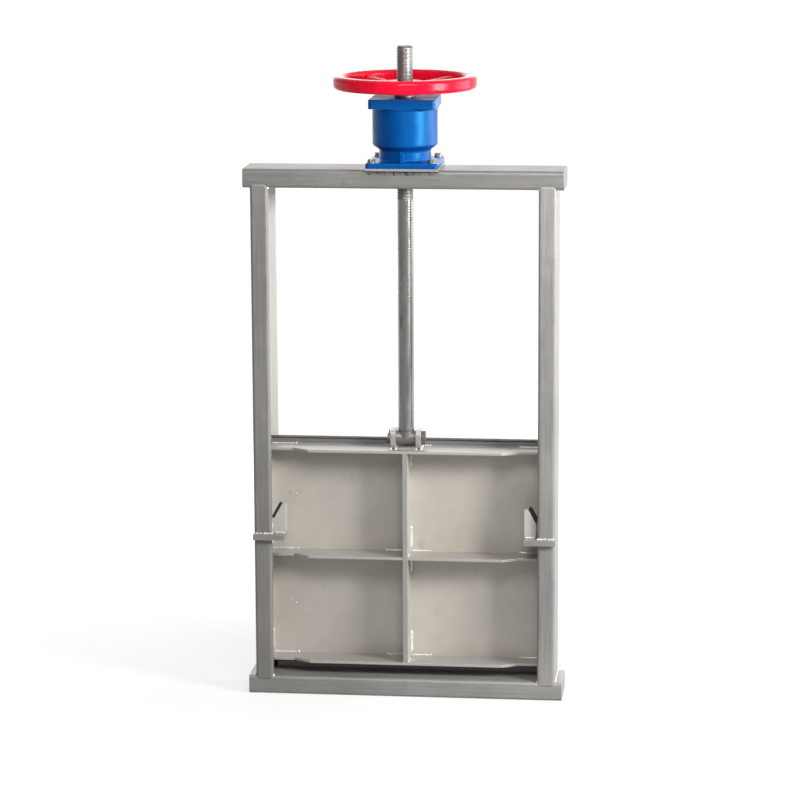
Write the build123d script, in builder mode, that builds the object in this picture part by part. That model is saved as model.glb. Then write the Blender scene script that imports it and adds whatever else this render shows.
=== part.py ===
"""Sluice gate: a stainless frame with a ribbed leaf, lifted by a rising screw through a handwheel hoist.

Millimetres. X runs to the right, Y away from the viewer and Z up. The origin is on the screw's axis,
at the underside of the base beam.
"""

import os

from build123d import *

# Frame
clear_width = 600.0
post_face = 40.0
post_length = 1116.0
frame_depth = 120.0
sheet = 5.0
fold_radius = 7.0
lip_depth = 12.0
beam_height = 42.0
beam_corner = 8.0
beam_overhang = 16.0
cap_thickness = 5.0

# Waterway and its rubber seals
lintel_over_leaf = 3.5
lintel_height = 38.0
side_seal_width = 18.0
top_seal_height = 31.0
top_seal_reach = 3.0
bottom_seal_width = 20.0
bottom_seal_height = 12.0
seal_gap = 0.5
seal_setback = 3.0

# Leaf
skin_thickness = 6.0
seal_thickness = 15.5
skin_above_rib = 10.0
rib_thickness = 6.0
rib_depth = 70.0
rib_spacing = 245.0
bottom_rib_height = 14.0
rib_end_step = 20.0
rib_full_half = 219.0
rib_step_run = 37.0
centre_rib_thickness = 11.0
stile_thickness = 6.0
leaf_side_gap = 14.0

# Lifting eye
lug_thickness = 11.0
lug_space = 46.0
lug_height = 44.0
lug_front = 20.0
lug_corner = 14.0
pin_diameter = 20.0
pin_height = 24.0
pin_head_diameter = 32.0
pin_head = 9.0
pin_tail = 8.0
pin_clearance = 0.3
eye_diameter = 34.0
eye_side_gap = 0.4
eye_neck = 18.0

# Keepers and wedges that hold the leaf to its seals
keeper_level = 361.0
keeper_height = 13.0
keeper_thickness = 12.0
keeper_reach = 30.0
keeper_leg = 26.0
keeper_leg_back = 36.0
keeper_past_post = 1.0
wedge_height = 64.0
wedge_top = 9.0
wedge_shoulder = 33.0
wedge_depth = 23.0
wedge_inset = 13.0
wedge_strip = 6.5

# Screw and drive
stem_diameter = 36.0
stem_top_gap = 77.0
stem_clearance = 0.3
stem_hole = 44.0
stem_chamfer = 2.0

# Hoist
pad_width = 162.0
pad_depth = 162.0
pad_thickness = 5.0
foot_side = 160.0
foot_height = 12.0
foot_corner = 8.0
neck_diameter = 115.0
neck_height = 24.0
neck_bore = 60.0
neck_rib = 8.0
neck_rib_setback = 8.5
shoulder_height = 10.0
shoulder_round = 7.0
neck_round = 5.0
barrel_diameter = 145.0
barrel_height = 84.0
barrel_wall = 10.0
flange_side = 148.0
flange_height = 10.0
flange_corner = 8.0
flange_flare = 5.0
casting_round = 3.0
foot_land = 0.5
cover_height = 11.0
cover_bore_gap = 2.0
nut_flange_diameter = 100.0
nut_flange_height = 14.0
nut_spigot_diameter = 56.0
nut_spigot = 20.0
nut_seat_gap = 0.3
sleeve_diameter = 44.0

# Handwheel
wheel_diameter = 320.0
rim_width = 27.0
rim_height = 30.0
rim_corner = 9.0
hub_diameter = 76.0
hub_height = 24.0
hub_lift = 6.0
hub_fit = 0.1
spoke_count = 4
spoke_width = 24.0
spoke_thickness = 15.0
spoke_root_width = 30.0
spoke_root_thickness = 18.0
rim_over_hub = 15.0
lock_nut_diameter = 78.0
lock_nut_height = 5.0
lock_nut_slot = 9.0

# Levels and faces shared by the pieces
half_clear = clear_width / 2
half_frame = half_clear + post_face
beam_length = 2 * (half_frame + beam_overhang)
front = -frame_depth / 2
back = frame_depth / 2
post_bottom = beam_height
post_top = post_bottom + post_length
beam_top = post_top + beam_height
groove_back = back - sheet

skin_back = groove_back - seal_thickness - seal_gap
skin_front = skin_back - skin_thickness
skin_bottom = post_bottom + bottom_seal_height + seal_gap
leaf_half = half_frame - sheet - leaf_side_gap
rib_half = leaf_half - stile_thickness
rib_front = skin_front - rib_depth
rib_end_front = rib_front + rib_end_step
bottom_rib_top = skin_bottom + bottom_rib_height + rib_thickness
middle_rib_top = bottom_rib_top + rib_spacing
top_rib_top = middle_rib_top + rib_spacing
skin_top = top_rib_top + skin_above_rib

lintel_top = skin_top + lintel_over_leaf
lintel_bottom = lintel_top - lintel_height
seal_top = skin_top + top_seal_reach
seal_outer = half_clear + seal_setback + side_seal_width

lug_inner = lug_space / 2
lug_outer = lug_inner + lug_thickness
pin_level = top_rib_top + pin_height
eye_top = pin_level + eye_neck

keeper_inner = half_clear - keeper_reach
keeper_top = keeper_level + keeper_height

foot_bottom = beam_top + pad_thickness
neck_bottom = foot_bottom + foot_height
shoulder_bottom = neck_bottom + neck_height
barrel_bottom = shoulder_bottom + shoulder_height
flange_bottom = barrel_bottom + barrel_height
flange_top = flange_bottom + flange_height
cover_top = flange_top + cover_height
nut_seat = barrel_bottom + nut_seat_gap
hub_bottom = cover_top + hub_lift
hub_top = hub_bottom + hub_height
lock_nut_top = hub_top + lock_nut_height
rim_level = hub_bottom + hub_height / 2 + rim_over_hub
rim_radius = (wheel_diameter - rim_width) / 2
stem_top = lock_nut_top + stem_top_gap

os.makedirs("parts", exist_ok=True)


def save(piece, name):
    """Label a finished piece and write it to its own file."""
    piece.part.label = name
    export_step(piece.part, f"parts/{name}.step")


def named(side):
    """The word for a side: -1 is left and 1 is right."""
    return "left" if side < 0 else "right"


def beam_outline(level, shrink=0.0):
    """Sketch a beam's rounded section, made smaller all round by shrink."""
    with Locations((0, level + beam_height / 2)):
        RectangleRounded(
            frame_depth - 2 * shrink, beam_height - 2 * shrink, beam_corner - shrink
        )


# Beams: rectangular tube, closed by plates let into its ends
def beam(level, stem_passes=False):
    """A hollow beam that lies along X with its underside at level, bored if the stem passes through it."""
    with BuildPart() as tube:
        with BuildSketch(Plane.YZ.offset(-beam_length / 2)):
            beam_outline(level)
        extrude(amount=beam_length)
        with BuildSketch(Plane.YZ.offset(-beam_length / 2)):
            beam_outline(level, sheet)
        extrude(amount=beam_length, mode=Mode.SUBTRACT)
        if stem_passes:
            with BuildSketch(Plane.XY.offset(level)):
                Circle(stem_hole / 2)
            extrude(amount=beam_height, mode=Mode.SUBTRACT)
    return tube


def end_caps(level):
    """The two plates in a beam's ends."""
    with BuildPart() as caps:
        for start in (-beam_length / 2, beam_length / 2 - cap_thickness):
            with BuildSketch(Plane.YZ.offset(start)):
                beam_outline(level, sheet)
            extrude(amount=cap_thickness)
    return caps


save(beam(0), "base_beam")
save(end_caps(0), "base_end_caps")
save(beam(post_top, stem_passes=True), "top_beam")
save(end_caps(post_top), "top_end_caps")


# Posts: folded lipped channels, open towards the leaf and coped over the beams' rounded edges
def post(side):
    """One post; the leaf's edge runs in its groove."""
    middle = side * (half_clear + post_face / 2)
    mouth_front = front + lip_depth
    with BuildPart() as channel:
        with BuildSketch(Plane.XY.offset(post_bottom - beam_corner)):
            with Locations((middle, 0)):
                RectangleRounded(post_face, frame_depth, fold_radius)
            with Locations((middle - side * post_face / 4, groove_back + sheet / 2)):
                Rectangle(post_face / 2, sheet)
            with Locations((middle, 0)):
                RectangleRounded(
                    post_face - 2 * sheet,
                    frame_depth - 2 * sheet,
                    fold_radius - sheet,
                    mode=Mode.SUBTRACT,
                )
            with Locations((side * half_clear, (mouth_front + groove_back) / 2)):
                Rectangle(
                    post_face, groove_back - mouth_front, mode=Mode.SUBTRACT
                )
        extrude(amount=post_length + 2 * beam_corner)
        for level in (0, post_top):
            with BuildSketch(Plane.YZ.offset(-beam_length / 2)):
                beam_outline(level)
            extrude(amount=beam_length, mode=Mode.SUBTRACT)
    return channel


for side in (-1, 1):
    save(post(side), f"{named(side)}_post")

# Lintel: closes the top of the waterway between the posts' back flanges
with BuildPart() as lintel:
    with BuildSketch(Plane.XY.offset(lintel_bottom)):
        with Locations((0, groove_back + sheet / 2)):
            Rectangle(clear_width, sheet)
    extrude(amount=lintel_height)
save(lintel, "lintel")


# Seals: rubber strips on the frame that the skin plate bears on
def seal_block(width, middle, start, depth, bottom, height):
    """A straight rubber strip, width along X and depth along Y from start."""
    with BuildPart() as strip:
        with BuildSketch(Plane.XY.offset(bottom)):
            with Locations((middle, start + depth / 2)):
                Rectangle(width, depth)
        extrude(amount=height)
    return strip


for side in (-1, 1):
    save(
        seal_block(
            side_seal_width,
            side * (seal_outer - side_seal_width / 2),
            groove_back - seal_thickness,
            seal_thickness,
            post_bottom,
            seal_top - post_bottom,
        ),
        f"{named(side)}_seal",
    )
save(
    seal_block(
        2 * (half_clear + seal_setback),
        0,
        groove_back - seal_thickness,
        seal_thickness,
        seal_top - top_seal_height,
        top_seal_height,
    ),
    "top_seal",
)
save(
    seal_block(
        2 * (half_clear + seal_setback),
        0,
        (skin_front + skin_back - bottom_seal_width) / 2,
        bottom_seal_width,
        post_bottom,
        bottom_seal_height,
    ),
    "bottom_seal",
)


# Keepers: bars across the posts' fronts, each with a leg that reaches in beside the leaf
def keeper(side):
    """A bar along X with a leg that runs back from its inner end."""
    outer = half_frame + keeper_past_post
    leg_outer = keeper_inner + keeper_leg
    leg_end = front + keeper_leg_back
    outline = [
        (outer, front - keeper_thickness),
        (keeper_inner, front - keeper_thickness),
        (keeper_inner, leg_end),
        (leg_outer, leg_end),
        (leg_outer, front),
        (outer, front),
    ]
    with BuildPart() as bar:
        with BuildSketch(Plane.XY.offset(keeper_level)):
            with BuildLine():
                Polyline(*[(side * x, y) for x, y in outline], close=True)
            make_face()
        extrude(amount=keeper_height)
    return bar


# Wedges: stand on the keepers' legs, their outer shoulders cut on a slant and faced with a black strip
wedge_foot = keeper_inner + keeper_leg
slant_low = Vector(wedge_foot, keeper_top + wedge_shoulder)
slant_high = Vector(keeper_inner + wedge_top, keeper_top + wedge_height)
slant_out = (slant_low - slant_high).normalized().rotate(Axis.Z, 90) * wedge_strip


def upright(side, outline):
    """An outline in X and Z, drawn out along Y over the wedge's depth."""
    with BuildPart() as block:
        with BuildSketch(Plane.XZ.offset(-(front + wedge_inset))):
            with BuildLine():
                Polyline(*[(side * p.X, p.Y) for p in outline], close=True)
            make_face()
        extrude(amount=-wedge_depth)
    return block


wedge_outline = [
    Vector(keeper_inner, keeper_top),
    Vector(keeper_inner, keeper_top + wedge_height),
    slant_high,
    slant_low,
    Vector(wedge_foot, keeper_top),
]
strip_outline = [slant_low, slant_high, slant_high + slant_out, slant_low + slant_out]

for side in (-1, 1):
    save(keeper(side), f"{named(side)}_keeper")
    save(upright(side, wedge_outline), f"{named(side)}_wedge")
    save(upright(side, strip_outline), f"{named(side)}_wedge_strip")

# Skin plate of the leaf
with BuildPart() as skin_plate:
    with BuildSketch(Plane.XY.offset(skin_bottom)):
        with Locations((0, (skin_front + skin_back) / 2)):
            Rectangle(2 * leaf_half, skin_thickness)
    extrude(amount=skin_top - skin_bottom)
save(skin_plate, "skin_plate")


# Ribs: flat plates on edge, stepped back at their ends to pass behind the keepers
def rib(top, start, side=1, whole=True):
    """A rib whose top face is at top, from X = start outwards to the stile, or mirrored when whole."""
    half = [
        (rib_half, skin_front),
        (rib_half, rib_end_front),
        (rib_full_half + rib_step_run, rib_end_front),
        (rib_full_half, rib_front),
    ]
    if whole:
        outline = half + [(-x, y) for x, y in reversed(half)]
    else:
        outline = [(start, skin_front)] + half + [(start, rib_front)]
    with BuildPart() as plate:
        with BuildSketch(Plane.XY.offset(top - rib_thickness)):
            with BuildLine():
                Polyline(*[(side * x, y) for x, y in outline], close=True)
            make_face()
        extrude(amount=rib_thickness)
    return plate


save(rib(top_rib_top, 0), "top_rib")
save(rib(bottom_rib_top, 0), "bottom_rib")
for side in (-1, 1):
    save(
        rib(middle_rib_top, centre_rib_thickness / 2, side, whole=False),
        f"{named(side)}_middle_rib",
    )

with BuildPart() as centre_rib:
    with BuildSketch(Plane.XY.offset(bottom_rib_top)):
        with Locations((0, (rib_front + skin_front) / 2)):
            Rectangle(centre_rib_thickness, rib_depth)
    extrude(amount=top_rib_top - rib_thickness - bottom_rib_top)
save(centre_rib, "centre_rib")

for side in (-1, 1):
    with BuildPart() as stile:
        with BuildSketch(Plane.XY.offset(bottom_rib_top - rib_thickness)):
            with Locations(
                (side * (rib_half + stile_thickness / 2), (rib_end_front + skin_front) / 2)
            ):
                Rectangle(stile_thickness, skin_front - rib_end_front)
        extrude(amount=top_rib_top - bottom_rib_top + rib_thickness)
    save(stile, f"{named(side)}_stile")

# Lugs on the top rib, bored for the lifting pin
for side in (-1, 1):
    with BuildPart() as lug:
        with BuildSketch(Plane.YZ.offset(side * (lug_inner + lug_outer) / 2)) as plate:
            with Locations(((skin_front - lug_front) / 2, top_rib_top + lug_height / 2)):
                Rectangle(skin_front + lug_front, lug_height)
            fillet(plate.vertices().group_by(Axis.Z)[-1], lug_corner)
            with Locations((0, pin_level)):
                Circle(pin_diameter / 2 + pin_clearance, mode=Mode.SUBTRACT)
        extrude(amount=lug_thickness / 2, both=True)
    save(lug, f"{named(side)}_lug")

# Lifting pin, headed at the right
with BuildPart() as lug_pin:
    with BuildSketch(Plane.YZ.offset(-lug_outer - pin_tail)):
        with Locations((0, pin_level)):
            Circle(pin_diameter / 2)
    extrude(amount=2 * lug_outer + pin_tail)
    with BuildSketch(Plane.YZ.offset(lug_outer)):
        with Locations((0, pin_level)):
            Circle(pin_head_diameter / 2)
    extrude(amount=pin_head)
save(lug_pin, "lug_pin")

# Eye at the foot of the screw: a cross barrel with a short neck
with BuildPart() as stem_eye:
    with BuildSketch(Plane.YZ):
        with Locations((0, pin_level)):
            Circle(eye_diameter / 2)
    extrude(amount=lug_inner - eye_side_gap, both=True)
    with BuildSketch(Plane.XY.offset(pin_level)):
        Circle(stem_diameter / 2)
    extrude(amount=eye_neck)
    with BuildSketch(Plane.YZ):
        with Locations((0, pin_level)):
            Circle(pin_diameter / 2 + pin_clearance)
    extrude(amount=lug_inner, both=True, mode=Mode.SUBTRACT)
save(stem_eye, "stem_eye")

# Screw stem
with BuildPart() as stem:
    with BuildSketch(Plane.XY.offset(eye_top)):
        Circle(stem_diameter / 2)
    extrude(amount=stem_top - eye_top)
    chamfer(stem.edges().group_by(Axis.Z)[-1], stem_chamfer)
save(stem, "stem")

# Hoist pad on the top beam
with BuildPart() as hoist_pad:
    with BuildSketch(Plane.XY.offset(beam_top)):
        Rectangle(pad_width, pad_depth)
        Circle(stem_hole / 2, mode=Mode.SUBTRACT)
    extrude(amount=pad_thickness)
save(hoist_pad, "hoist_pad")



def rim_edges(part, level, side):
    """Edges of a square plate's outer rim at a level, leaving out any bore or neck inside it."""
    flat = part.edges().filter_by_position(Axis.Z, level, level)
    return [edge for edge in flat if max(abs(edge.center().X), abs(edge.center().Y)) > 0.45 * side]


# Flare that carries the round barrel out to the corners of the flange
with BuildPart() as flare:
    with BuildSketch(Plane.XZ):
        with BuildLine():
            Polyline(
                (barrel_diameter / 2 - barrel_wall / 2, flange_bottom - flange_flare),
                (barrel_diameter / 2, flange_bottom - flange_flare),
                (barrel_diameter / 2 + flange_flare, flange_bottom),
                (barrel_diameter / 2 - barrel_wall / 2, flange_bottom),
                close=True,
            )
        make_face()
    revolve(axis=Axis.Z)
    with BuildSketch(Plane.XY.offset(flange_bottom - flange_flare)):
        RectangleRounded(flange_side, flange_side, flange_corner)
    extrude(amount=flange_flare, mode=Mode.INTERSECT)

# Hoist housing: a casting with a square foot, a ribbed neck, a round barrel and a square flange
skirt_radius = foot_side / 2 - casting_round - foot_land
with BuildPart() as hoist_housing:
    with BuildSketch(Plane.XY.offset(foot_bottom)):
        RectangleRounded(foot_side, foot_side, foot_corner)
    extrude(amount=foot_height)
    with BuildSketch(Plane.XZ) as casting:
        with BuildLine():
            Polyline(
                (0, foot_bottom),
                (skirt_radius, foot_bottom),
                (skirt_radius, neck_bottom),
                (neck_diameter / 2, neck_bottom),
                (neck_diameter / 2, shoulder_bottom),
                (barrel_diameter / 2, barrel_bottom),
                (barrel_diameter / 2, flange_bottom),
                (0, flange_bottom),
                close=True,
            )
        make_face()
        for radius, height, size in (
            (neck_diameter / 2, neck_bottom, neck_round),
            (neck_diameter / 2, shoulder_bottom, shoulder_round),
            (barrel_diameter / 2, barrel_bottom, shoulder_round),
        ):
            bend = casting.vertices().sort_by_distance((radius, height))[0]
            fillet(bend, size)
    revolve(axis=Axis.Z)
    with BuildSketch(Plane.XY.offset(neck_bottom)):
        Rectangle(neck_rib, foot_side - 2 * neck_rib_setback)
    extrude(amount=neck_height)
    with BuildSketch(Plane.XY.offset(flange_bottom)):
        RectangleRounded(flange_side, flange_side, flange_corner)
    extrude(amount=flange_height)
    add(flare.part)
    fillet(rim_edges(hoist_housing, neck_bottom, foot_side), casting_round)
    with BuildSketch(Plane.XY.offset(foot_bottom)):
        Circle(neck_bore / 2)
    extrude(amount=barrel_bottom - foot_bottom, mode=Mode.SUBTRACT)
    with BuildSketch(Plane.XY.offset(barrel_bottom)):
        Circle(barrel_diameter / 2 - barrel_wall)
    extrude(amount=flange_top - barrel_bottom, mode=Mode.SUBTRACT)
save(hoist_housing, "hoist_housing")

# Hoist cover
with BuildPart() as hoist_cover:
    with BuildSketch(Plane.XY.offset(flange_top)):
        RectangleRounded(flange_side, flange_side, flange_corner)
        Circle(sleeve_diameter / 2 + cover_bore_gap, mode=Mode.SUBTRACT)
    extrude(amount=cover_height)
    fillet(rim_edges(hoist_cover, flange_top + cover_height, flange_side), casting_round)
save(hoist_cover, "hoist_cover")

# Drive nut: a flanged sleeve that the wheel turns on the screw
with BuildPart() as drive_nut:
    with BuildSketch(Plane.XZ):
        with BuildLine():
            Polyline(
                (stem_diameter / 2 + stem_clearance, nut_seat - nut_spigot),
                (nut_spigot_diameter / 2, nut_seat - nut_spigot),
                (nut_spigot_diameter / 2, nut_seat),
                (nut_flange_diameter / 2, nut_seat),
                (nut_flange_diameter / 2, nut_seat + nut_flange_height),
                (sleeve_diameter / 2, nut_seat + nut_flange_height),
                (sleeve_diameter / 2, lock_nut_top),
                (stem_diameter / 2 + stem_clearance, lock_nut_top),
                close=True,
            )
        make_face()
    revolve(axis=Axis.Z)
save(drive_nut, "drive_nut")

# Handwheel: a casting with a round rim, tapered arms and a bored hub
with BuildPart() as handwheel:
    with BuildSketch(Plane.XZ):
        with Locations((rim_radius, rim_level)):
            RectangleRounded(rim_width, rim_height, rim_corner)
    revolve(axis=Axis.Z)
    with BuildSketch(Plane.XY.offset(hub_bottom)):
        Circle(hub_diameter / 2)
    extrude(amount=hub_height)
    for arm in range(spoke_count):
        outward = Vector(1, 0, 0).rotate(Axis.Z, 360 / spoke_count * (arm + 0.5))
        across = outward.rotate(Axis.Z, 90)
        root = Plane(
            outward * (hub_diameter / 4) + Vector(0, 0, (hub_bottom + hub_top) / 2), across, outward
        )
        tip = Plane(outward * rim_radius + Vector(0, 0, rim_level), across, outward)
        with BuildSketch(root):
            Ellipse(spoke_root_width / 2, spoke_root_thickness / 2)
        with BuildSketch(tip):
            Ellipse(spoke_width / 2, spoke_thickness / 2)
        loft()
    with BuildSketch(Plane.XY.offset(hub_bottom)):
        Circle(sleeve_diameter / 2 + hub_fit)
    extrude(amount=hub_height, mode=Mode.SUBTRACT)
save(handwheel, "handwheel")

# Lock nut that holds the wheel on the sleeve, slotted for a spanner
with BuildPart() as lock_nut:
    with BuildSketch(Plane.XY.offset(hub_top)):
        Circle(lock_nut_diameter / 2)
        with PolarLocations(lock_nut_diameter / 2, 4):
            Rectangle(lock_nut_slot, lock_nut_slot, mode=Mode.SUBTRACT)
        Circle(sleeve_diameter / 2 + hub_fit, mode=Mode.SUBTRACT)
    extrude(amount=lock_nut_height)
save(lock_nut, "lock_nut")
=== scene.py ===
# %% [markdown]
# # A stainless sluice gate, finished for the camera
# The CAD model gives every plate, tube and casting its real size. This lesson adds what a workshop
# leaves behind on them: the cut thread of the screw, the welds, the bolts and the paint.
# Everything is in metres in the frame of the CAD model: X to the right, Y away from the viewer, Z up.

import math

import bpy
import numpy as np
from mathutils import Matrix, Vector


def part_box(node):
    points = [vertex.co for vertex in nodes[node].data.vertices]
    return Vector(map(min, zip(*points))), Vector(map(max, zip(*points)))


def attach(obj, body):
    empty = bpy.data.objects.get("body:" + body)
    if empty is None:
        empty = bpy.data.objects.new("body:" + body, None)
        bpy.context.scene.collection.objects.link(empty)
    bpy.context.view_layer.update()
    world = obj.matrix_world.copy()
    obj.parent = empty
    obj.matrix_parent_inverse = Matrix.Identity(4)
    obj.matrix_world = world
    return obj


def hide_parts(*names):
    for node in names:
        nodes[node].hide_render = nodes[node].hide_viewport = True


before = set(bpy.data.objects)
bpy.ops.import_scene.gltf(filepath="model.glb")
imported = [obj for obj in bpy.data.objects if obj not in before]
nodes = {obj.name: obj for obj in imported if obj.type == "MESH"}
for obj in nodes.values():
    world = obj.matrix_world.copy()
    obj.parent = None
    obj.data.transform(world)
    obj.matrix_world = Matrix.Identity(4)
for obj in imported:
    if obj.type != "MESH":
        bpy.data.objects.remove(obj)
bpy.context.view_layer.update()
print("nodes:", len(nodes))


# %% [markdown]
# ## Meshes from grids
# Nearly every added piece is a sheet of points with rows and columns, such as a thread, a bead or a bolt.
# The sheet is worked out as one array, and its quads come from the array's own numbering, so no loop
# runs over the points.

# %% Grid helpers
def quads_of_grid(rows, columns, closed):
    """Corner numbers of the quads between neighbouring rows.

    If closed, the last column is joined to the first.
    """
    row = np.arange(rows - 1)[:, None]
    column = np.arange(columns if closed else columns - 1)[None, :]
    beside = (column + 1) % columns
    return np.stack(
        [
            row * columns + column,
            row * columns + beside,
            (row + 1) * columns + beside,
            (row + 1) * columns + column,
        ],
        axis=-1,
    ).reshape(-1, 4)


def object_from(name, sheets, closed=True):
    """One object from several grids of points, each of shape (rows, columns, 3), with smooth shading."""
    points = []
    quads = []
    start = 0
    for sheet in sheets:
        rows, columns = sheet.shape[:2]
        points.append(sheet.reshape(-1, 3))
        quads.append(quads_of_grid(rows, columns, closed) + start)
        start += rows * columns
    points = np.concatenate(points)
    quads = np.concatenate(quads)
    mesh = bpy.data.meshes.new(name)
    mesh.from_pydata(points, [], quads.tolist())
    mesh.polygons.foreach_set("use_smooth", np.ones(len(mesh.polygons), dtype=bool))
    mesh.validate()
    mesh.update()
    piece = bpy.data.objects.new(name, mesh)
    bpy.context.scene.collection.objects.link(piece)
    return piece


def revolve(profile, centre, columns=48):
    """Points of a turned form: each (radius, height) of the profile goes once round a vertical axis."""
    profile = np.asarray(profile, dtype=float)
    angle = np.linspace(0, 2 * np.pi, columns, endpoint=False)
    radius = profile[:, :1]
    x = radius * np.cos(angle)
    y = radius * np.sin(angle)
    z = np.repeat(profile[:, 1:2], columns, axis=1)
    return np.stack([x, y, z], axis=-1) + np.asarray(centre, dtype=float)


def sharpen(piece, degrees=35):
    """Edges that bend more than the angle stay crisp, and the rest shade smoothly."""
    piece.data.set_sharp_from_angle(angle=math.radians(degrees))
    return piece


# %% [markdown]
# ## Node materials
# Each finish is built from the same few steps: stretched noise for brush lines or casting grain, a ramp
# that turns it into a mask, and a mix between two tones. All of them read Object coordinates, which are
# metres here, so a noise scale of 100 gives lumps of about a centimetre.

# %% Material helpers
class Finish:
    """A material under construction: a Principled shader and small helpers that add nodes to it."""

    def __init__(self, name, roughness, metallic=0.0):
        self.material = bpy.data.materials.new(name)
        self.material.use_nodes = True
        self.tree = self.material.node_tree
        self.shader = self.tree.nodes["Principled BSDF"]
        self.shader.inputs["Roughness"].default_value = roughness
        self.shader.inputs["Metallic"].default_value = metallic
        self.place = self.tree.nodes.new("ShaderNodeTexCoord").outputs["Object"]
        self.rounded = None

    def node(self, kind, **settings):
        """A node of that kind with its properties set."""
        made = self.tree.nodes.new(kind)
        for key, value in settings.items():
            setattr(made, key, value)
        return made

    def link(self, source, target):
        """A wire from an output to an input, or a constant if the source is a plain value."""
        if isinstance(source, bpy.types.NodeSocket):
            self.tree.links.new(source, target)
        else:
            target.default_value = source

    def noise(self, scale, stretch=(1, 1, 1), detail=4.0, roughness=0.55):
        """Fractal noise of that scale, drawn out along the axes where stretch is small."""
        mapping = self.node("ShaderNodeMapping")
        mapping.inputs["Scale"].default_value = stretch
        self.link(self.place, mapping.inputs["Vector"])
        noise = self.node("ShaderNodeTexNoise")
        noise.inputs["Scale"].default_value = scale
        noise.inputs["Detail"].default_value = detail
        noise.inputs["Roughness"].default_value = roughness
        self.link(mapping.outputs["Vector"], noise.inputs["Vector"])
        return noise.outputs["Fac"]

    def spread(self, value, low, high, to_low=0.0, to_high=1.0):
        """The value between low and high, mapped to a new range and held at its ends."""
        ranged = self.node("ShaderNodeMapRange")
        self.link(value, ranged.inputs["Value"])
        ranged.inputs["From Min"].default_value = low
        ranged.inputs["From Max"].default_value = high
        ranged.inputs["To Min"].default_value = to_low
        ranged.inputs["To Max"].default_value = to_high
        return ranged.outputs["Result"]

    def combine(self, operation, first, second):
        """Two values joined by a sum, product or other operation."""
        maths = self.node("ShaderNodeMath", operation=operation)
        self.link(first, maths.inputs[0])
        self.link(second, maths.inputs[1])
        return maths.outputs[0]

    def mix(self, mask, first, second):
        """The first colour where the mask is 0 and the second where it is 1."""
        mixer = self.node("ShaderNodeMix", data_type="RGBA")
        self.link(mask, mixer.inputs["Factor"])
        self.link((*first, 1) if isinstance(first, tuple) else first, mixer.inputs["A"])
        self.link((*second, 1) if isinstance(second, tuple) else second, mixer.inputs["B"])
        return mixer.outputs["Result"]

    def height(self, value, strength, distance):
        """A bump of the value, in metres of relief, on the shader's normal."""
        bump = self.node("ShaderNodeBump")
        bump.inputs["Strength"].default_value = strength
        bump.inputs["Distance"].default_value = distance
        self.link(value, bump.inputs["Height"])
        if self.rounded:
            self.link(self.rounded.outputs["Normal"], bump.inputs["Normal"])
        self.link(bump.outputs["Normal"], self.shader.inputs["Normal"])

    def soften(self, radius):
        """A normal that turns smoothly over every edge, as if a file had taken off that radius."""
        self.rounded = self.node("ShaderNodeBevel", samples=4)
        self.rounded.inputs["Radius"].default_value = radius
        return self.rounded.outputs["Normal"]

    def edges(self, low, high):
        """A mask of the edges: one less the cosine between the softened normal and the flat one."""
        flat = self.node("ShaderNodeNewGeometry").outputs["Normal"]
        lean = self.node("ShaderNodeVectorMath", operation="DOT_PRODUCT")
        self.link(flat, lean.inputs[0])
        self.link(self.rounded.outputs["Normal"], lean.inputs[1])
        return self.spread(self.combine("SUBTRACT", 1.0, lean.outputs["Value"]), low, high)

    def colour(self, value):
        """The base colour."""
        self.link(value, self.shader.inputs["Base Color"])

    def rough(self, value):
        """The roughness."""
        self.link(value, self.shader.inputs["Roughness"])


def dress(finish, *names):
    """Gives the named CAD nodes the finish."""
    for name in names:
        data = nodes[name].data
        data.materials.clear()
        data.materials.append(finish.material)
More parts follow.
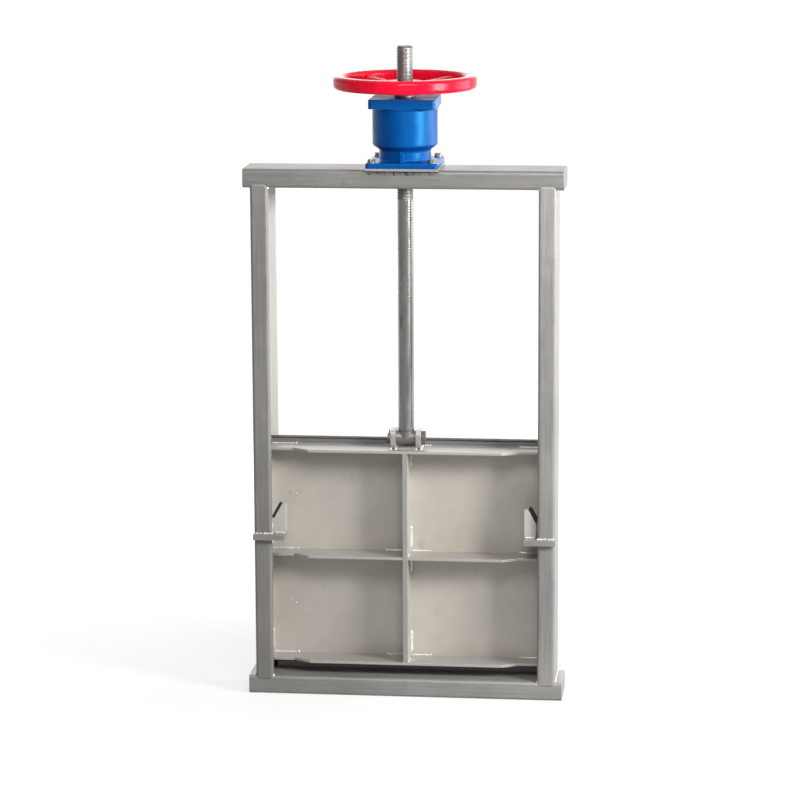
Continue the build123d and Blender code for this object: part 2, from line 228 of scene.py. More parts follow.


# %% [markdown]
# ## Stainless plate
# Mill plate that has been pickled and wiped is satin: it has faint rolling lines along its length, cloudy
# patches where the acid stood longer, and small scuffs. The lines run along each piece, so the posts and
# the beams get the same finish with a different stretch, though the left post and the top beam get darker
# tones of it, as painted shade. The leaf and its ribs were pickled paler, and the ribs are darker than the
# uprights, as painted shade on their tops. Faces turned to the front get a painted tone: lighter on the
# ribs' front edges and on the posts' back flanges inside the channel, as painted light, and darker on the
# uprights' fronts, as painted shade. The wedges are paler, as painted light. Every edge is lighter, partly
# wear and partly a painted glint. The band of skin above the top rib is darker, a painted reflection of the
# dark that it mirrors.

# %% Stainless finishes
def stainless(name, along, light, dark, bare, brushed, cut=None, cut_from=-1.0):
    """Satin plate whose lines run along one axis: stretched noise for the lines, wide noise for the clouds.

    Bare is how metallic the surface is: polished plate mirrors the room and pickled plate is nearly matt.
    Brushed is the share of the lines in the tone and the relief, from 0 to 1.
    Cut is a tone painted on the faces turned to the front beyond the depth given after it: painted light
    where it is lighter than the plate and painted shade where it is darker.
    """
    stretch = [90.0, 90.0, 90.0]
    stretch["xyz".index(along)] = 1.6
    finish = Finish(name, 0.42, metallic=bare)
    finish.soften(0.0012)
    lines = finish.noise(6.0, tuple(stretch), detail=3.0)
    cloud = finish.noise(5.0, detail=5.0, roughness=0.6)
    scuff = finish.noise(55.0, (1, 1, 0.35), detail=6.0, roughness=0.7)
    cloudy = finish.spread(cloud, 0.35, 0.68, 0.0, 1 - brushed)
    lined = finish.spread(lines, 0.3, 0.7, 0.0, brushed)
    plate = finish.mix(finish.combine("ADD", cloudy, lined), dark, light)
    worn = finish.mix(finish.spread(scuff, 0.62, 0.74, 0.0, 0.45), plate, tuple(0.72 * c for c in dark))
    # Faces turned to the front beyond the depth get the cut tone painted on: painted light where it is
    # lighter, painted shade where it is darker.
    if cut:
        front = finish.node("ShaderNodeVectorMath", operation="DOT_PRODUCT")
        finish.link(finish.node("ShaderNodeNewGeometry").outputs["True Normal"], front.inputs[0])
        front.inputs[1].default_value = (0, -1, 0)
        depth = finish.node("ShaderNodeSeparateXYZ")
        finish.link(finish.place, depth.inputs["Vector"])
        ground = finish.combine(
            "MULTIPLY",
            finish.spread(front.outputs["Value"], 0.8, 0.95),
            finish.spread(depth.outputs["Y"], cut_from, cut_from + 0.005),
        )
        worn = finish.mix(ground, worn, cut)
    # Every edge is lightened: partly edge wear, partly a painted glint.
    finish.colour(finish.mix(finish.edges(0.06, 0.25), worn, WORN_EDGE))
    line_rough = finish.spread(lines, 0.3, 0.7, 0.32, 0.46)
    cloud_rough = finish.spread(cloud, 0.4, 0.7, 0.0, 0.1)
    finish.rough(finish.combine("ADD", line_rough, cloud_rough))
    line_relief = finish.combine("MULTIPLY", lines, 2 * brushed)
    scuff_relief = finish.combine("MULTIPLY", scuff, 0.4)
    finish.height(finish.combine("ADD", line_relief, scuff_relief), 0.22, 0.0006)
    return finish


# Lighter on every edge: partly wear, partly a painted glint.
WORN_EDGE = (0.7, 0.69, 0.66)
# Painted reflection: a darker tone for the band of skin above the top rib, for the dark that it mirrors.
BARE_BAND = (0.2, 0.197, 0.19)
LIGHT_PLATE = (0.4, 0.39, 0.367)
DARK_PLATE = (0.235, 0.229, 0.215)
# Painted shade: the left post is the right post's plate in darker tones.
LIGHT_LEFT = (0.33, 0.322, 0.303)
DARK_LEFT = (0.195, 0.19, 0.179)
# Painted shade: the top beam is the base beam's plate in darker tones.
LIGHT_TOP = (0.28, 0.273, 0.257)
DARK_TOP = (0.165, 0.161, 0.151)
LIGHT_LEAF = (0.66, 0.616, 0.552)
DARK_LEAF = (0.53, 0.493, 0.44)
# Painted shade: the ribs are the uprights' plate in darker tones, for the shade on their tops.
LIGHT_RIB = (0.49, 0.471, 0.44)
DARK_RIB = (0.395, 0.38, 0.354)
LIGHT_UPRIGHT = (0.6, 0.577, 0.538)
DARK_UPRIGHT = (0.485, 0.466, 0.434)
# Painted light: a pale tone on the posts' back flanges where they face the front inside the channel.
GROUND = (0.82, 0.8, 0.76)
# Painted shade: a darker tone on the faces of the uprights that turn to the front.
SHEARED = (0.4, 0.388, 0.364)
# Painted highlight: a lighter tone on the ribs' front edges.
RUBBED = (0.51, 0.497, 0.469)
# Painted light: the wedges are the uprights' plate in paler tones.
LIGHT_WEDGE = (0.66, 0.643, 0.607)
post_plate = stainless("plate_lines_up", "z", LIGHT_PLATE, DARK_PLATE, 0.25, 0.5, GROUND, 0.03)
left_plate = stainless("plate_left_post_shaded", "z", LIGHT_LEFT, DARK_LEFT, 0.25, 0.5, GROUND, 0.03)
beam_plate = stainless("plate_lines_across", "x", LIGHT_PLATE, DARK_PLATE, 0.25, 0.5)
top_plate = stainless("plate_top_shaded", "x", LIGHT_TOP, DARK_TOP, 0.25, 0.5)
leaf_plate = stainless("plate_leaf", "x", LIGHT_LEAF, DARK_LEAF, 0.25, 0.12)
rib_plate = stainless("plate_ribs_shade_and_light", "x", LIGHT_RIB, DARK_RIB, 0.3, 0.2, RUBBED)
upright_plate = stainless("plate_uprights", "z", LIGHT_UPRIGHT, DARK_UPRIGHT, 0.2, 0.2, SHEARED)
wedge_plate = stainless("plate_wedges_lit", "x", LIGHT_WEDGE, LIGHT_UPRIGHT, 0.3, 0.2)
skin_place = leaf_plate.node("ShaderNodeSeparateXYZ")
leaf_plate.link(leaf_plate.place, skin_place.inputs["Vector"])
rib_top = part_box("top_rib")[1].z
# Painted reflection: the skin above the top rib gets the darker band.
above_rib = leaf_plate.spread(skin_place.outputs["Z"], rib_top, rib_top + 0.001)
pickled = leaf_plate.shader.inputs["Base Color"].links[0].from_socket
leaf_plate.colour(leaf_plate.mix(above_rib, pickled, BARE_BAND))
dress(post_plate, "right_post")
dress(left_plate, "left_post")
dress(upright_plate, "left_stile", "right_stile", "centre_rib", "left_lug", "right_lug")
dress(beam_plate, "base_beam", "base_end_caps", "lintel", "hoist_pad")
dress(top_plate, "top_beam", "top_end_caps")
dress(beam_plate, "left_keeper", "right_keeper")
dress(wedge_plate, "left_wedge", "right_wedge")
dress(leaf_plate, "skin_plate")
dress(rib_plate, "top_rib", "left_middle_rib", "right_middle_rib", "bottom_rib")
print("stainless finishes: 8")


# %% [markdown]
# ## Screw steel
# The screw and its pin are turned bar. The thread holds dark grease, with smears where a hand or a rag has
# been along it. Below the beam the bar is polished: it mirrors the room, with a few greasy runs and dull
# rings.

# %% Steel finishes
def turned_steel(name, light, dark, grease):
    """Turned bar: rings round the axis and a greasy film in uneven smears."""
    finish = Finish(name, 0.36, metallic=0.8)
    rings = finish.noise(6.0, (20, 20, 260), detail=2.0)
    smear = finish.noise(9.0, (1, 1, 1.6), detail=5.0, roughness=0.62)
    metal = finish.mix(finish.spread(rings, 0.3, 0.7), dark, light)
    film = finish.spread(smear, 0.52, 0.7, 0.0, 0.75)
    finish.colour(finish.mix(film, metal, grease))
    finish.rough(finish.spread(smear, 0.4, 0.7, 0.36, 0.56))
    finish.height(rings, 0.1, 0.0002)
    return finish


def polished_steel(name, light, dark, marks):
    """Polished bar: soft streaks along it, thin greasy runs, and a dull ring at each marked height."""
    finish = Finish(name, 0.18, metallic=0.92)
    streak = finish.noise(7.0, (9, 9, 1.2), detail=4.0)
    run = finish.noise(11.0, (7, 7, 1.0), detail=5.0, roughness=0.6)
    broken = finish.noise(60.0, detail=3.0)
    metal = finish.mix(finish.spread(streak, 0.35, 0.65), dark, light)
    greasy = finish.mix(finish.spread(run, 0.62, 0.72, 0.0, 0.7), metal, tuple(0.3 * c for c in dark))
    place = finish.node("ShaderNodeSeparateXYZ")
    finish.link(finish.place, place.inputs["Vector"])
    rings = 0.0
    for height in marks:
        away = finish.combine("ABSOLUTE", finish.combine("SUBTRACT", place.outputs["Z"], height), 0.0)
        ring = finish.spread(away, 0.0006, 0.0016, 1.0, 0.0)
        rings = finish.combine("MAXIMUM", rings, ring)
    rings = finish.combine("MULTIPLY", rings, finish.spread(broken, 0.42, 0.58, 0.0, 0.7))
    finish.colour(finish.mix(rings, greasy, tuple(0.45 * c for c in dark)))
    streak_rough = finish.spread(streak, 0.3, 0.7, 0.2, 0.32)
    ring_rough = finish.combine("MULTIPLY", rings, 0.3)
    finish.rough(finish.combine("ADD", streak_rough, ring_rough))
    return finish


RING_HEIGHTS = (1.086, 1.019, 0.914)
screw_steel = turned_steel("steel_screw", (0.3, 0.29, 0.273), (0.2, 0.193, 0.181), (0.09, 0.083, 0.072))
bar_steel = polished_steel("steel_bar", (0.42, 0.41, 0.39), (0.32, 0.311, 0.294), RING_HEIGHTS)
nut_steel = turned_steel("steel_nut", (0.3, 0.288, 0.27), (0.2, 0.192, 0.18), (0.06, 0.055, 0.05))
dress(screw_steel, "stem", "stem_eye", "lug_pin")
dress(nut_steel, "drive_nut", "lock_nut")
print("steel finishes: 3")


# %% [markdown]
# ## Rubber
# The seals are moulded strip: nearly black, with a grey bloom on the skin and a fine matt grain. The sill
# seal under the leaf is painted a pale grey, painted light that lifts the deep shade under the bottom rib,
# and the wedges' facing strips are the blackest.

# %% Rubber finishes
def rubber(name, tone, bloom):
    """Matt rubber of that tone, with a paler bloom in soft patches and a grain of about a millimetre."""
    finish = Finish(name, 0.72)
    patch = finish.noise(18.0, detail=5.0)
    grain = finish.noise(900.0, detail=2.0)
    finish.colour(finish.mix(finish.spread(patch, 0.45, 0.75, 0.0, 0.6), tone, bloom))
    finish.rough(finish.spread(patch, 0.3, 0.7, 0.62, 0.84))
    finish.height(grain, 0.3, 0.0003)
    return finish


seal_rubber = rubber("rubber_seal", (0.05, 0.05, 0.051), (0.13, 0.127, 0.122))
facing = rubber("rubber_facing", (0.012, 0.012, 0.012), (0.03, 0.03, 0.03))
# Painted light: a pale grey on the sill seal, lifting the deep shade under the bottom rib.
sill_rubber = rubber("rubber_sill_painted_light", (0.34, 0.335, 0.322), (0.42, 0.413, 0.396))
dress(seal_rubber, "left_seal", "right_seal", "top_seal")
dress(sill_rubber, "bottom_seal")
dress(facing, "left_wedge_strip", "right_wedge_strip")
print("rubber finishes: 3")


# %% [markdown]
# ## Gloss paint on castings
# The hoist is a sand casting under thick blue gloss, and the wheel is the same in red. The paint softens
# the sand grain to a slow ripple, is a little darker in slow patches, and is thin or chipped on some edges.

# %% Paint finishes
def gloss_paint(name, tone, deep, primer, ripple, shine, tint, dull):
    """Gloss over a casting: a slow ripple, a fine grain, darker pools and sparse chips on the edges.

    Shine and tint are the strength and colour of what it mirrors, and dull is its least roughness.
    """
    finish = Finish(name, 0.28)
    finish.soften(0.002)
    slow = finish.noise(38.0, detail=4.0)
    sand = finish.noise(420.0, detail=3.0)
    chip = finish.noise(130.0, detail=5.0, roughness=0.7)
    painted = finish.mix(finish.spread(slow, 0.35, 0.7), tone, deep)
    bare = finish.combine("MULTIPLY", finish.edges(0.05, 0.15), finish.spread(chip, 0.58, 0.64))
    finish.colour(finish.mix(bare, painted, primer))
    pool_rough = finish.spread(slow, 0.3, 0.7, dull, dull + 0.1)
    chip_rough = finish.combine("MULTIPLY", bare, 0.3)
    finish.rough(finish.combine("ADD", pool_rough, chip_rough))
    finish.height(finish.combine("ADD", slow, finish.combine("MULTIPLY", sand, 0.3)), 0.35, ripple)
    finish.shader.inputs["Specular IOR Level"].default_value = shine
    finish.shader.inputs["Specular Tint"].default_value = (*tint, 1)
    return finish


BLUE = (0.0005, 0.068, 0.31)
DEEP_BLUE = (0.0005, 0.05, 0.245)
SKY_TINT = (0.1, 0.68, 1.0)
RED = (0.95, 0.005, 0.035)
DEEP_RED = (0.8, 0.003, 0.025)
NO_TINT = (1.0, 1.0, 1.0)
blue_paint = gloss_paint("paint_blue", BLUE, DEEP_BLUE, (0.2, 0.21, 0.22), 0.0012, 0.65, SKY_TINT, 0.32)
red_paint = gloss_paint("paint_red", RED, DEEP_RED, (0.25, 0.1, 0.08), 0.0008, 0.2, NO_TINT, 0.16)
dress(blue_paint, "hoist_housing", "hoist_cover")
dress(red_paint, "handwheel")
print("paint finishes: 2")


# %% [markdown]
# ## Weld metal
# Stitch welds on stainless are paler than the plate and mottled with a straw and grey heat tint. The
# bead itself is a string of overlapping ripples that ends in a rounded crater.

# %% Weld finish
weld_metal = Finish("weld_metal", 0.45, metallic=0.45)
weld_tint = weld_metal.noise(60.0, detail=4.0)
weld_tone = weld_metal.mix(weld_metal.spread(weld_tint, 0.4, 0.62), (0.84, 0.82, 0.79), (0.64, 0.61, 0.56))
weld_metal.colour(weld_tone)
weld_metal.rough(weld_metal.spread(weld_tint, 0.3, 0.7, 0.36, 0.54))
weld_metal.height(weld_metal.noise(500.0, detail=2.0), 0.3, 0.0003)


# %% [markdown]
# ## The screw's thread
# The screw is cut left-handed, so that turning the wheel anticlockwise lifts the leaf. Its section is a
# trapezoid that repeats every 6 mm. The rows of the grid follow the helix: going once round lowers a row
# by one pitch, so each flank stays crisp with only four rows to a turn. The full thread ends just below the
# beam. Below that the bar is polished and keeps a trace of the thread less than a tenth of a millimetre deep.

# %% Thread
SCREW_RADIUS = 0.018
PITCH = 0.006
THREAD_DEPTH = 0.0016
THREAD_LOW = 1.128
FAINT_DEPTH = 0.00007
FAINT_LOW = 0.735
LEAD_IN = 0.003
RUN_OUT = 0.012
CHAMFER = 0.0022
TOP_SINK = 0.00002
OVERLAP = 0.0005
ROUND = 72
stem_low, stem_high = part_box("stem")


def thread_sheet(low, high, sink, lead, columns=ROUND):
    """Rows of a left-hand helix: the height falls by a pitch in one turn.

    The radius steps from crest to flank to root. Sink is the depth of the root, and lead is what is cut
    off the radius at the top end.
    """
    steps = np.array([0.0, 0.34, 0.5, 0.84])
    sunk = np.array([0.0, 0.0, 1.0, 1.0])
    turns = np.arange(int((high - low) / PITCH) + 2)
    level = (turns[:, None] + steps[None, :]).ravel() * PITCH + low
    depth = np.tile(sunk, len(turns)) * sink
    around = np.linspace(0, 2 * np.pi, columns + 1)
    height = np.clip(level[:, None] - PITCH * around[None, :] / (2 * np.pi), low, high)
    lead_in = np.clip((high - height) / LEAD_IN, 0, 1)
    run_out = np.clip((height - low) / RUN_OUT, 0, 1)
    radius = SCREW_RADIUS - depth[:, None] * run_out - lead * (1 - lead_in)
    return np.stack([radius * np.cos(around), radius * np.sin(around), height], axis=-1)


shank = revolve(
    [
        (0.0, stem_low.z),
        (SCREW_RADIUS - 0.0015, stem_low.z),
        (SCREW_RADIUS, stem_low.z + 0.0015),
        (SCREW_RADIUS, FAINT_LOW - 0.004),
        (SCREW_RADIUS, FAINT_LOW + OVERLAP),
    ],
    (0, 0, 0),
    ROUND,
)
end_face = revolve(
    [
        (SCREW_RADIUS - CHAMFER, stem_high.z - TOP_SINK),
        (0.004, stem_high.z - TOP_SINK),
        (0.003, stem_high.z - 0.003),
        (0.0, stem_high.z - 0.004),
    ],
    (0, 0, 0),
    ROUND,
)
thread = thread_sheet(THREAD_LOW, stem_high.z - TOP_SINK, THREAD_DEPTH, CHAMFER)
faint = thread_sheet(FAINT_LOW, THREAD_LOW + OVERLAP, FAINT_DEPTH, 0.0)
screw_mesh = object_from("screw", [shank])
thread_mesh = object_from("screw_thread", [thread], closed=False)
faint_mesh = object_from("screw_faint_thread", [faint], closed=False)
end_mesh = object_from("screw_end", [end_face])
screw_pieces = (
    (screw_mesh, bar_steel),
    (faint_mesh, bar_steel),
    (thread_mesh, screw_steel),
    (end_mesh, screw_steel),
)
for piece, finish in screw_pieces:
    sharpen(piece, 25)
    piece.data.materials.append(finish.material)
    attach(piece, "leaf")
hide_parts("stem")
print("thread turns:", int((stem_high.z - THREAD_LOW) / PITCH), "quads:", len(thread_mesh.data.polygons))


# %% [markdown]
# ## Stitch welds
# A bead is a closed worm of weld metal along a line: its radius swells in ripples about 2.5 mm apart,
# wanders a little, and closes in a round end. It is laid half sunk in the corner that it fills. One call
# makes all the beads of a body, from a table of where each starts and ends.

# %% Beads
weld_draws = np.random.default_rng(7)


def bead_sheet(start, end, radius, blob=0.4):
    """A worm from start to end: its radius closes at both ends, ripples, and swells by blob near the last."""
    start = np.asarray(start, dtype=float)
    end = np.asarray(end, dtype=float)
    length = np.linalg.norm(end - start)
    rows = max(int(length / 0.0008), 10)
    along = (1 - np.cos(np.linspace(0, np.pi, rows))) / 2
    along = 0.5 * along + 0.5 * np.linspace(0, 1, rows)
    way = (end - start) / length
    side = np.cross(way, [0.31, 0.52, 0.8])
    side /= np.linalg.norm(side)
    other = np.cross(way, side)
    near_end = np.minimum(along, 1 - along) * length / radius
    closing = np.sqrt(np.clip(1 - (1 - np.clip(near_end, 0, 1)) ** 2, 0, 1))
    phase = weld_draws.uniform(0, 2 * np.pi)
    ripple = 1 + 0.06 * np.abs(np.sin(np.pi * along * length / 0.0026 + phase))
    crater = 1 + blob * np.exp(-(((1 - along) * length / radius - 1.3) ** 2) / 0.7)
    wander = 0.1 * radius * np.sin(2 * np.pi * along * length / 0.017 + 2 * phase)
    angle = np.linspace(0, 2 * np.pi, 12, endpoint=False)
    ring = np.cos(angle)[:, None] * side + np.sin(angle)[:, None] * other
    centre = start + along[:, None] * (end - start) + wander[:, None] * side
    size = radius * closing * ripple * crater
    return centre[:, None, :] + size[:, None, None] * ring[None, :, :]


def weld_beads(name, body, runs):
    """One object of weld metal on a body, from runs of start, end, radius and, where it differs, blob."""
    piece = object_from(name, [bead_sheet(*run) for run in runs])
    piece.data.materials.append(weld_metal.material)
    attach(piece, body)
    print(name, "beads:", len(runs), "quads:", len(piece.data.polygons))
    return piece


# %% Beads on the leaf
RIB_SHEET = 0.006
THIN_BEAD = 0.0018
END_BLOB = 1.2
EVEN_BLOB = 0.15
SPATTER = ((-0.262, 0.19), (-0.271, 0.196), (-0.268, 0.452), (-0.259, 0.447), (0.247, 0.166), (0.259, 0.448))


def run_across(side, first, last, y, z):
    """Start and end of a level bead across the gate, mirrored to the side."""
    return (side * first, y, z), (side * last, y, z)


def run_up(x, y, low, high):
    """Start and end of an upright bead."""
    return (x, y, low), (x, y, high)


def run_back(x, front, back, z):
    """Start and end of a level bead from front to back."""
    return (x, front, z), (x, back, z)


skin_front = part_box("skin_plate")[0].y
rib_tops = [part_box(name)[1].z for name in ("bottom_rib", "left_middle_rib", "top_rib")]
centre_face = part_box("centre_rib")[1].x
stile_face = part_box("right_stile")[0].x
leaf_runs = []
for top in rib_tops:
    for side in (-1, 1):
        leaf_runs.append((*run_across(side, 0.006, 0.053, skin_front, top), THIN_BEAD, END_BLOB))
        leaf_runs.append((*run_across(side, 0.312, 0.252, skin_front, top), THIN_BEAD, END_BLOB))
        leaf_runs.append((*run_across(side, 0.15, 0.19, skin_front, top - RIB_SHEET), 0.0022))
cells = ((rib_tops[0], rib_tops[1] - RIB_SHEET), (rib_tops[1], rib_tops[2] - RIB_SHEET))
for floor_level, roof_level in cells:
    for face in (-centre_face, centre_face, -stile_face, stile_face):
        lower = run_up(face, skin_front, floor_level + 0.008, floor_level + 0.058)
        upper = run_up(face, skin_front, roof_level - 0.044, roof_level - 0.012)
        leaf_runs.append((*lower, 0.0042, EVEN_BLOB))
        leaf_runs.append((*upper, 0.0038, EVEN_BLOB))
    for side in (-1, 1):
        leaf_runs.append((*run_back(side * centre_face, -0.03, 0.0, floor_level), 0.0024))
        leaf_runs.append((*run_back(side * stile_face, -0.012, 0.02, floor_level), 0.0026))
for x, z in SPATTER:
    leaf_runs.append(((x, skin_front, z), (x + 0.004, skin_front, z + 0.001), 0.0014))
for side in (-1, 1):
    for face in (0.023, 0.034):
        leaf_runs.append((*run_back(side * face, -0.017, 0.028, rib_tops[2]), 0.0028))
leaf_welds = weld_beads("leaf_welds", "leaf", leaf_runs)

# %% Beads on the frame
POST_FRONT = -0.0605
PAD_FRONT = 0.0565
pad_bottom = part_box("hoist_pad")[0].z
beam_low, beam_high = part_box("top_beam")
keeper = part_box("right_keeper")
frame_runs = []
for side in (-1, 1):
    for low, high in ((0.302, 0.32), (0.322, 0.338)):
        frame_runs.append((*run_across(side, low, high, POST_FRONT, keeper[1].z), 0.0022))
        frame_runs.append((*run_across(side, low, high, POST_FRONT, keeper[0].z), 0.002))
    for level in (0.042, 1.158):
        frame_runs.append((*run_back(side * 0.34, -0.05, 0.05, level), 0.0026))
        frame_runs.append((*run_back(side * 0.3005, -0.045, -0.058, level), 0.0022))
    frame_runs.append((*run_across(side, 0.272, 0.294, -0.047, 0.374), 0.0022))
    frame_runs.append(((side * 0.2985, -0.061, 0.372), (side * 0.3045, -0.061, 0.3745), 0.0032))
for low, high in ((-0.079, -0.029), (-0.032, 0.03), (0.027, 0.079)):
    for side in (-1, 1):
        y = side * PAD_FRONT
        frame_runs.append(((low, y, pad_bottom - 0.001), (high, y, pad_bottom - 0.0007), 0.0022))
frame_welds = weld_beads("frame_welds", "frame", frame_runs)

# %% Slag
# Specks of burnt slag and dirt stay under the edge of the pad, where no brush reaches. They sit on the
# beam's folded edge, which falls back from its front by the radius less the root of what is left of it.
FOLD = 0.007
SPECKS = 26
slag = Finish("slag", 0.8)
slag.colour((0.045, 0.038, 0.03, 1))
slag_runs = []
speck_places = weld_draws.uniform(-0.078, 0.078, SPECKS)
speck_drops = weld_draws.uniform(0.003, 0.011, SPECKS)
for x, drop in zip(speck_places, speck_drops):
    speck = weld_draws.uniform(0.0006, 0.0014)
    short = max(FOLD - drop, 0.0)
    face = beam_low.y + FOLD - math.sqrt(FOLD**2 - short**2)
    level = beam_high.z - drop
    slag_runs.append(((x, face, level), (x + 2.5 * speck, face, level), speck))
weld_slag = object_from("weld_slag", [bead_sheet(*run) for run in slag_runs])
weld_slag.data.materials.append(slag.material)
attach(weld_slag, "frame")
print("slag specks:", len(slag_runs))


# %% [markdown]
# ## Bolts
# A forged hexagon head is a prism cut by a cone, which leaves the arcs on its six sides. The height of
# the top at any angle is the full height, less what the cone takes off where the hexagon passes it.

# %% Bolts
bolt_zinc = Finish("bolt_zinc", 0.4, metallic=0.85)
bolt_cloud = bolt_zinc.noise(160.0, detail=5.0)
bolt_patch = bolt_zinc.spread(bolt_cloud, 0.35, 0.65)
bolt_zinc.colour(bolt_zinc.mix(bolt_patch, (0.34, 0.332, 0.31), (0.22, 0.213, 0.2)))
bolt_zinc.rough(bolt_zinc.spread(bolt_cloud, 0.3, 0.7, 0.3, 0.5))
bolt_zinc.height(bolt_cloud, 0.2, 0.0003)


def bolt_sheets(centre, across, head, turn, columns=72):
    """A washer and a hexagon head: a flat is half the width over the cosine of the angle from its middle."""
    angle = np.linspace(0, 2 * np.pi, columns, endpoint=False)
    bend = (angle + turn + np.pi / 6) % (np.pi / 3) - np.pi / 6
    flat = across / 2 / np.cos(bend)
    crown = across / 2 * 0.96
    cut = np.clip(flat - crown, 0, None) * 0.58
    thick = across * 0.13
    rows = [
        (flat * 0 + 1e-6, flat * 0 + thick),
        (flat * 0.998, flat * 0 + thick),
        (flat, flat * 0 + thick + 0.0003),
        (flat, thick + head - cut),
        (np.minimum(flat, crown), flat * 0 + thick + head),
        (flat * 0 + 1e-6, flat * 0 + thick + head),
    ]
    radius = np.stack([row[0] for row in rows])
    height = np.stack([row[1] for row in rows])
    hexagon = np.stack([radius * np.cos(angle), radius * np.sin(angle), height], axis=-1) + np.asarray(centre)
    outer = across * 0.62
    edge = 0.0004
    section = [(1e-6, 0), (outer, 0), (outer, thick - edge), (outer - edge, thick), (1e-6, thick)]
    washer = revolve(section, centre, columns)
    return [washer, hexagon]


FOOT_TOP = 1.217
BOLT_REACH = 0.067
BOLT_WIDTH = 0.015
HEAD_HEIGHT = 0.006
corners = ((-1, -1), (1, -1), (1, 1), (-1, 1))
foot_bolts = []
for count, (x, y) in enumerate(corners):
    seat = (BOLT_REACH * x, BOLT_REACH * y, FOOT_TOP)
    foot_bolts += bolt_sheets(seat, BOLT_WIDTH, HEAD_HEIGHT, 0.4 + 1.1 * count)
hoist_bolts = sharpen(object_from("hoist_bolts", foot_bolts), 30)
hoist_bolts.data.materials.append(bolt_zinc.material)
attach(hoist_bolts, "frame")
print("bolts:", len(corners), "quads:", len(hoist_bolts.data.polygons))


# %% [markdown]
# ## Split pin
# The lug pin is kept in by a split pin through its tail. It is one wire, folded back on itself with an eye
# at the top, and its two legs are spread under the tail.

# %% Split pin
def wire_sheet(path, radius, columns=12):
    """A round wire along a path in the YZ plane: each ring is square to the path, and both ends close."""
    path = np.asarray(path, dtype=float)
    way = np.gradient(path, axis=0)
    way /= np.linalg.norm(way, axis=1)[:, None]
    across = np.array([1.0, 0.0, 0.0])
    side = np.cross(way, across)
    size = np.full(len(path), radius)
    size[[0, -1]] = radius * 0.05
    angle = np.linspace(0, 2 * np.pi, columns, endpoint=False)
    ring = np.cos(angle)[None, :, None] * side[:, None, :] + np.sin(angle)[None, :, None] * across
    return path[:, None, :] + size[:, None, None] * ring


pin_low, pin_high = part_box("lug_pin")
pin_level = (pin_low.z + pin_high.z) / 2
tail_middle = pin_low.x + 0.004
eye_turn = np.radians(np.linspace(255, -75, 25))
eye = np.stack([0.0036 * np.cos(eye_turn), 0.0142 + 0.0036 * np.sin(eye_turn)], axis=1)
first_leg = [(-0.0072, -0.0162), (-0.007, -0.016), (-0.0022, -0.0128), (-0.001, -0.0105), (-0.0009, 0.0095)]
last_leg = [(0.0009, 0.0095), (0.001, -0.0105), (0.0022, -0.0122), (0.0078, -0.0142), (0.008, -0.0143)]
flat_path = np.concatenate([first_leg, eye, last_leg])
tail_line = np.full(len(flat_path), tail_middle)
pin_path = np.stack([tail_line, flat_path[:, 0], flat_path[:, 1] + pin_level], axis=1)
WIRE_RADIUS = 0.0011
split_pin = object_from("split_pin", [wire_sheet(pin_path, WIRE_RADIUS)])
split_pin.data.materials.append(bolt_zinc.material)
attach(split_pin, "leaf")
print("split pin quads:", len(split_pin.data.polygons))


# %% [markdown]
# ## Studio
# The picture has a plain white ground and soft light from the right, so faces turned to the right are pale
# and the fronts stay grey. A wide, weak panel behind lights the back. The world is white to the camera, and
# to reflections it runs from grey to white. The floor is white to the camera, apart from the shadow that it
# keeps, and its reflection dims towards the front so that the polished bar isn't flooded with it.

# %% Floor and world
floor_mesh = bpy.data.meshes.new("studio_floor")
floor_mesh.from_pydata([(-30, -30, 0), (30, -30, 0), (30, 30, 0), (-30, 30, 0)], [], [(0, 1, 2, 3)])
floor = bpy.data.objects.new("studio_floor", floor_mesh)
bpy.context.scene.collection.objects.link(floor)
floor.location.z = -0.0005
floor_paint = Finish("studio_floor", 0.9)
floor_paint.colour((0.3, 0.3, 0.3, 1))
floor_mesh.materials.append(floor_paint.material)
floor_path = floor_paint.node("ShaderNodeLightPath").outputs
floor_seen = floor_paint.combine("MAXIMUM", floor_path["Is Camera Ray"], floor_path["Is Glossy Ray"])
floor_seen = floor_paint.combine("MAXIMUM", floor_seen, floor_path["Is Transmission Ray"])
floor_paint.shader.inputs["Emission Color"].default_value = (1, 1, 1, 1)
floor_far = floor_paint.node("ShaderNodeVectorMath", operation="LENGTH")
floor_paint.link(floor_paint.place, floor_far.inputs[0])
floor_glow = floor_paint.spread(floor_far.outputs["Value"], 0.5, 1.8, 0.71, 0.94)
floor_place = floor_paint.node("ShaderNodeSeparateXYZ")
floor_paint.link(floor_paint.place, floor_place.inputs["Vector"])
floor_front = floor_paint.spread(floor_place.outputs["Y"], -1.2, 0.4, 0.3, 1.0)
floor_shade = floor_paint.combine("MAXIMUM", floor_path["Is Camera Ray"], floor_front)
floor_glow = floor_paint.combine("MULTIPLY", floor_glow, floor_shade)
floor_light = floor_paint.combine("MULTIPLY", floor_seen, floor_glow)
floor_paint.link(floor_light, floor_paint.shader.inputs["Emission Strength"])

DIFFUSE_LEVEL = 0.18
DARK_WALL = 0.22
WHITE = 1.0
world = bpy.data.worlds.new("studio")
world.use_nodes = True
bpy.context.scene.world = world
tree = world.node_tree
background = tree.nodes["Background"]
path = tree.nodes.new("ShaderNodeLightPath")
mirrored = tree.nodes.new("ShaderNodeMath")
mirrored.operation = "MAXIMUM"
tree.links.new(path.outputs["Is Glossy Ray"], mirrored.inputs[0])
tree.links.new(path.outputs["Is Transmission Ray"], mirrored.inputs[1])
direction = tree.nodes.new("ShaderNodeNewGeometry")
toward = tree.nodes.new("ShaderNodeVectorMath")
toward.operation = "DOT_PRODUCT"
toward.inputs[1].default_value = (-0.8, -0.5, -0.33)
tree.links.new(direction.outputs["Incoming"], toward.inputs[0])
wall = tree.nodes.new("ShaderNodeMapRange")
wall.interpolation_type = "SMOOTHSTEP"
wall.inputs["From Min"].default_value = -0.75
wall.inputs["From Max"].default_value = 0.35
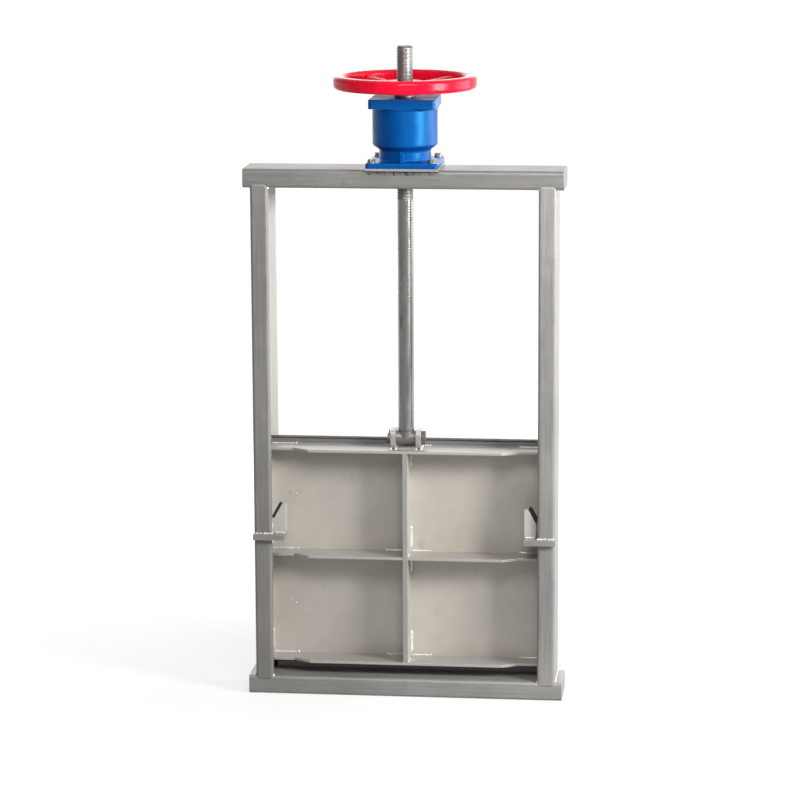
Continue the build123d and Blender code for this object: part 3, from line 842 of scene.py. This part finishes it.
wall.inputs["To Min"].default_value = DARK_WALL
wall.inputs["To Max"].default_value = WHITE
tree.links.new(toward.outputs["Value"], wall.inputs["Value"])
lit = tree.nodes.new("ShaderNodeMix")
lit.inputs["A"].default_value = DIFFUSE_LEVEL
tree.links.new(mirrored.outputs[0], lit.inputs["Factor"])
tree.links.new(wall.outputs["Result"], lit.inputs["B"])
level = tree.nodes.new("ShaderNodeMix")
level.inputs["B"].default_value = WHITE
tree.links.new(path.outputs["Is Camera Ray"], level.inputs["Factor"])
tree.links.new(lit.outputs["Result"], level.inputs["A"])
tree.links.new(level.outputs["Result"], background.inputs["Strength"])
background.inputs["Color"].default_value = (1, 1, 1, 1)


# %% Lamps
def soft_panel(name, place, aim, side, power):
    """A square panel of light at a place, turned to face the aim."""
    lamp = bpy.data.lights.new(name, "AREA")
    lamp.size = side
    lamp.energy = power
    lamp_object = bpy.data.objects.new(name, lamp)
    lamp_object.location = place
    lamp_object.rotation_euler = (Vector(aim) - Vector(place)).to_track_quat("-Z", "Y").to_euler()
    bpy.context.scene.collection.objects.link(lamp_object)
    return lamp_object


soft_panel("key", (2.1, -1.15, 1.45), (0, 0, 0.75), 0.8, 72)
soft_panel("rim", (2.1, 0.75, 1.4), (0, 0, 0.9), 1.4, 24)
soft_panel("fill", (0.25, -1.5, 1.85), (0, 0, 1.4), 0.7, 17)
soft_panel("back", (-0.4, 2.6, 1.3), (0, 0, 0.8), 2.4, 26)

# %% [markdown]
# ## Camera
# In the photograph both posts are upright although it looks down. A long lens from 7 m away keeps the posts
# nearly parallel and still looks down on the ribs.

# %% Camera
camera = bpy.data.cameras.new("camera")
camera.lens = 143.8
camera.sensor_width = 36.0
camera.clip_end = 60
camera_object = bpy.data.objects.new("camera", camera)
TURN = 6.52
LOOK_DOWN = 10.96
ROLL = -0.27
turn = Matrix.Rotation(math.radians(TURN), 4, "Z")
tip = Matrix.Rotation(math.radians(90 - LOOK_DOWN), 4, "X")
roll = Matrix.Rotation(math.radians(ROLL), 4, "Z")
camera_object.matrix_world = Matrix.Translation((0.786, -7.0, 2.039)) @ turn @ tip @ roll
bpy.context.scene.collection.objects.link(camera_object)
bpy.context.scene.camera = camera_object
bpy.context.scene.view_settings.view_transform = "Standard"
